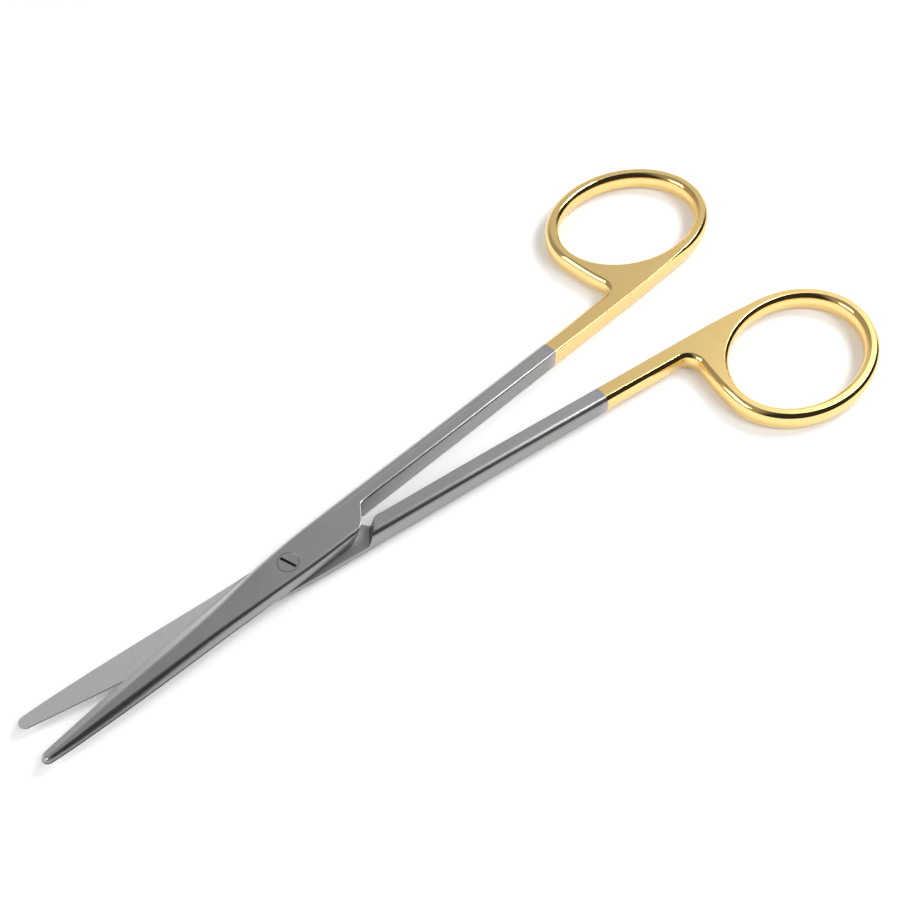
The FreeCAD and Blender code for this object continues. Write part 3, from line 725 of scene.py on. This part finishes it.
def half_metal(name, turn, inner_side):
    """Satin steel with cross-ground inner blade faces, and gold plate on shank and ring. Painted
    shade darkens its side walls, a rim along the parting plane and the lap's bearing face, and a
    painted sheen brightens the cross-ground faces.

    turn brings the half's length along X. inner_side is 1 where the inner face looks up, and
    -1 where it looks down."""
    material, shader = new_material(name)
    tree = material.node_tree
    place = add_node(tree, "ShaderNodeTexCoord").outputs["Object"]
    along = add_node(tree, "ShaderNodeMapping", {"Vector": place, "Rotation": (0.0, 0.0, turn)})
    own = along.outputs["Vector"]
    length, _, height = add_node(tree, "ShaderNodeSeparateXYZ", {0: own}).outputs
    normal = add_node(tree, "ShaderNodeNewGeometry").outputs["Normal"]
    _, _, facing = add_node(tree, "ShaderNodeSeparateXYZ", {0: normal}).outputs

    # Where each finish lies, and where shade and sheen are painted
    gold = step_up(tree, length, GOLD_START - GOLD_EDGE, GOLD_START + GOLD_EDGE)
    stain = step_up(tree, length, GOLD_START - STAIN_WIDTH, GOLD_START)
    level = calculate(tree, "ABSOLUTE", facing)
    flat = step_up(tree, level, *FLAT_FACES)
    side = calculate(tree, "SUBTRACT", 1.0, step_up(tree, level, *SIDE_FACES))
    inward = step_up(tree, calculate(tree, "MULTIPLY", facing, inner_side), *INNER_FACES)
    above = calculate(tree, "SUBTRACT", height, PARTING_HEIGHT * MM)
    off_plane = calculate(tree, "ABSOLUTE", above)
    at_plane = calculate(tree, "SUBTRACT", 1.0, step_up(tree, off_plane, *OFF_PARTING))
    inner = calculate(tree, "MULTIPLY", inward, at_plane)
    lap = step_up(tree, length, *LAP_START)
    ground = calculate(tree, "MULTIPLY", inner, calculate(tree, "SUBTRACT", 1.0, lap))
    # The lap's part of the inner face: its bearing face, painted darker as shade
    bearing = calculate(tree, "MULTIPLY", inner, lap)
    # The painted rim shade lies on side walls near the parting plane, away from the lap
    clear = calculate(tree, "MAXIMUM", step_up(tree, off_plane, *RIM_SHADE_REACH), lap)
    rim = calculate(tree, "MULTIPLY", side, calculate(tree, "SUBTRACT", 1.0, clear))

    # Grain: fine lines along the half on its outer faces, and across it on the inner faces
    brushing = noise(tree, own, *BRUSHING)
    grinding = noise(tree, own, *GRINDING)
    cloud = noise(tree, own, *CLOUDING)
    grain = blend_numbers(tree, ground, brushing, grinding)

    # Steel, with painted shade on its side walls, rim and bearing face, and a painted sheen on
    # its ground face
    satin = blend_colours(tree, cloud, *SATIN)
    # Painted shade on the side walls
    satin = blend_colours(tree, side, satin, SHADED_SIDE_STEEL)
    # Painted shade: dark rim at the parting plane
    satin = blend_colours(tree, rim, satin, PARTING_RIM_SHADE)
    # Painted shade on the lap's bearing face
    satin = blend_colours(tree, bearing, satin, SHADED_BEARING_STEEL)
    # Painted sheen, with real grain, on the cross-ground face
    ground_sheen = blend_colours(tree, grinding, *GROUND_STEEL_SHEEN)
    steel = blend_colours(tree, ground, satin, ground_sheen)
    steel = blend_colours(tree, stain, steel, STAIN)
    gold_tone = blend_colours(tree, cloud, *GOLD)
    colour = blend_colours(tree, gold, steel, gold_tone)
    tree.links.new(colour, shader.inputs["Base Color"])

    # Gloss
    steel_rough = blend_numbers(tree, brushing, *SATIN_ROUGH)
    steel_rough = blend_numbers(tree, ground, steel_rough, GROUND_ROUGH)
    dull = calculate(tree, "MAXIMUM", bearing, side)
    steel_rough = blend_numbers(tree, dull, steel_rough, SIDE_ROUGH)
    gold_rough = blend_numbers(tree, flat, *GOLD_ROUGH)
    rough = blend_numbers(tree, gold, steel_rough, gold_rough)
    tree.links.new(rough, shader.inputs["Roughness"])
    shader.inputs["Metallic"].default_value = 1.0

    # Bump of the grain, weaker on the polished gold
    depth = blend_numbers(tree, gold, STEEL_BUMP, blend_numbers(tree, flat, *GOLD_BUMP))
    bump = add_node(
        tree,
        "ShaderNodeBump",
        {"Strength": depth, "Distance": BUMP_HEIGHT, "Height": grain},
    )
    tree.links.new(bump.outputs["Normal"], shader.inputs["Normal"])
    return material


def screw_metal():
    """Steel of the pivot screw: a turned face, with painted shade in its slot."""
    material, shader = new_material("turned_screw_steel")
    tree = material.node_tree
    place = add_node(tree, "ShaderNodeTexCoord").outputs["Object"]
    _, _, height = add_node(tree, "ShaderNodeSeparateXYZ", {0: place}).outputs
    face = step_up(tree, height, *HEAD_FACE)
    cloud = noise(tree, place, *TURNED_CLOUDING)
    turned = blend_colours(tree, cloud, *TURNED_STEEL)
    # Painted shade in the slot, below the head's face
    colour = blend_colours(tree, face, SLOT_SHADE, turned)
    tree.links.new(colour, shader.inputs["Base Color"])
    rough = blend_numbers(tree, cloud, *TURNED_ROUGH)
    tree.links.new(rough, shader.inputs["Roughness"])
    shader.inputs["Metallic"].default_value = 1.0
    grain = noise(tree, place, TURNED_GRAIN)
    bump = add_node(
        tree,
        "ShaderNodeBump",
        {"Strength": TURNED_BUMP, "Distance": BUMP_HEIGHT, "Height": grain},
    )
    tree.links.new(bump.outputs["Normal"], shader.inputs["Normal"])
    return material


def floor_white():
    """White floor that keeps the shadow: its own colour, and a little more for what sees it."""
    material, shader = new_material("studio_floor")
    tree = material.node_tree
    shader.inputs["Base Color"].default_value = FLOOR_COLOUR
    shader.inputs["Roughness"].default_value = FLOOR_ROUGH
    shader.inputs["Specular IOR Level"].default_value = 0.0
    path = add_node(tree, "ShaderNodeLightPath")
    seen = calculate(tree, "ADD", path.outputs["Is Camera Ray"], path.outputs["Is Glossy Ray"])
    seen = calculate(tree, "ADD", seen, path.outputs["Is Transmission Ray"], clamp=True)
    shader.inputs["Emission Color"].default_value = (1, 1, 1, 1)
    glow = calculate(tree, "MULTIPLY", seen, FLOOR_GLOW)
    tree.links.new(glow, shader.inputs["Emission Strength"])
    return material


def add_floor():
    """A plain floor under the object."""
    bm = bmesh.new()
    bmesh.ops.create_grid(bm, x_segments=1, y_segments=1, size=FLOOR_REACH)
    mesh = bpy.data.meshes.new("floor")
    bm.to_mesh(mesh)
    bm.free()
    mesh.materials.append(floor_white())
    floor = bpy.data.objects.new("floor", mesh)
    floor.location.z = CAD_LOW[2]
    bpy.context.scene.collection.objects.link(floor)


def add_softbox(name, place, size, power, mirrored):
    """A large square lamp that looks at the scissors."""
    lamp = bpy.data.lights.new(name, "AREA")
    lamp.shape = "SQUARE"
    lamp.size = size
    lamp.energy = power
    holder = bpy.data.objects.new(name, lamp)
    holder.location = place
    aim = (CAD_LOW + CAD_HIGH) / 2
    holder.rotation_euler = (aim - Vector(place)).to_track_quat("-Z", "Y").to_euler()
    holder.visible_glossy = mirrored
    bpy.context.scene.collection.objects.link(holder)


def along_way(tree, across, along, way):
    """How far a direction points along a level way."""
    rest = calculate(tree, "MULTIPLY", along, way[1])
    return calculate(tree, "MULTIPLY_ADD", across, way[0], rest)


def add_world():
    """Soft room light: bright behind the scissors, and a dark room on the near side."""
    world = bpy.data.worlds.new("studio")
    world.use_nodes = True
    tree = world.node_tree
    tree.nodes.clear()
    direction = add_node(tree, "ShaderNodeTexCoord").outputs["Generated"]
    across, along, rise = add_node(tree, "ShaderNodeSeparateXYZ", {0: direction}).outputs
    dark = step_up(tree, along_way(tree, across, along, NEAR_SIDE), *NEAR_LIMITS)
    far = step_up(tree, along_way(tree, across, along, FAR_SIDE), *FAR_LIMITS)
    low = calculate(tree, "SUBTRACT", 1.0, step_up(tree, rise, *GLOW_HEIGHT))
    glow = calculate(tree, "MULTIPLY", far, low)
    colour = blend_colours(tree, step_up(tree, across, *ACROSS_LIMITS), ROOM_LEFT, ROOM_RIGHT)
    colour = blend_colours(tree, glow, colour, ROOM_GLOW)
    colour = blend_colours(tree, dark, colour, ROOM_DARK)
    background = add_node(tree, "ShaderNodeBackground", {"Color": colour, "Strength": 1.0})
    output = tree.nodes.new("ShaderNodeOutputWorld")
    tree.links.new(background.outputs["Background"], output.inputs["Surface"])
    bpy.context.scene.world = world


def add_camera():
    """The camera of the photograph."""
    lens = bpy.data.cameras.new("camera")
    lens.lens = LENS
    lens.sensor_width = SENSOR
    lens.clip_start = 0.01
    camera = bpy.data.objects.new("camera", lens)
    camera.location = CAMERA_PLACE
    camera.rotation_euler = (CAMERA_TILT, 0.0, CAMERA_TURN)
    bpy.context.scene.collection.objects.link(camera)
    bpy.context.scene.camera = camera


LIFT = Matrix.Translation((0, 0, PARTING_HEIGHT * MM))
SHRINK = Matrix.Scale(MM, 4)
UPPER_PLACE = LIFT @ Matrix.Rotation(HALF_OPENING, 4, "Z") @ SHRINK
TURN_OVER = Matrix.Rotation(math.pi, 4, "X")
LOWER_PLACE = LIFT @ Matrix.Rotation(-HALF_OPENING, 4, "Z") @ TURN_OVER @ SHRINK
finish_half("upper_half", "upper_blade", half_metal("upper_half_metal", -HALF_OPENING, -1.0),
            UPPER_HOLE, UPPER_PLACE)
finish_half("lower_half", "lower_blade", half_metal("lower_half_metal", HALF_OPENING, 1.0),
            LOWER_HOLE, LOWER_PLACE)
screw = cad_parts["pivot_screw"]
screw.data.materials.clear()
screw.data.materials.append(screw_metal())

add_floor()
add_world()
for softbox in SOFTBOXES:
    add_softbox(*softbox)
add_camera()
bpy.context.scene.view_settings.view_transform = "Standard"
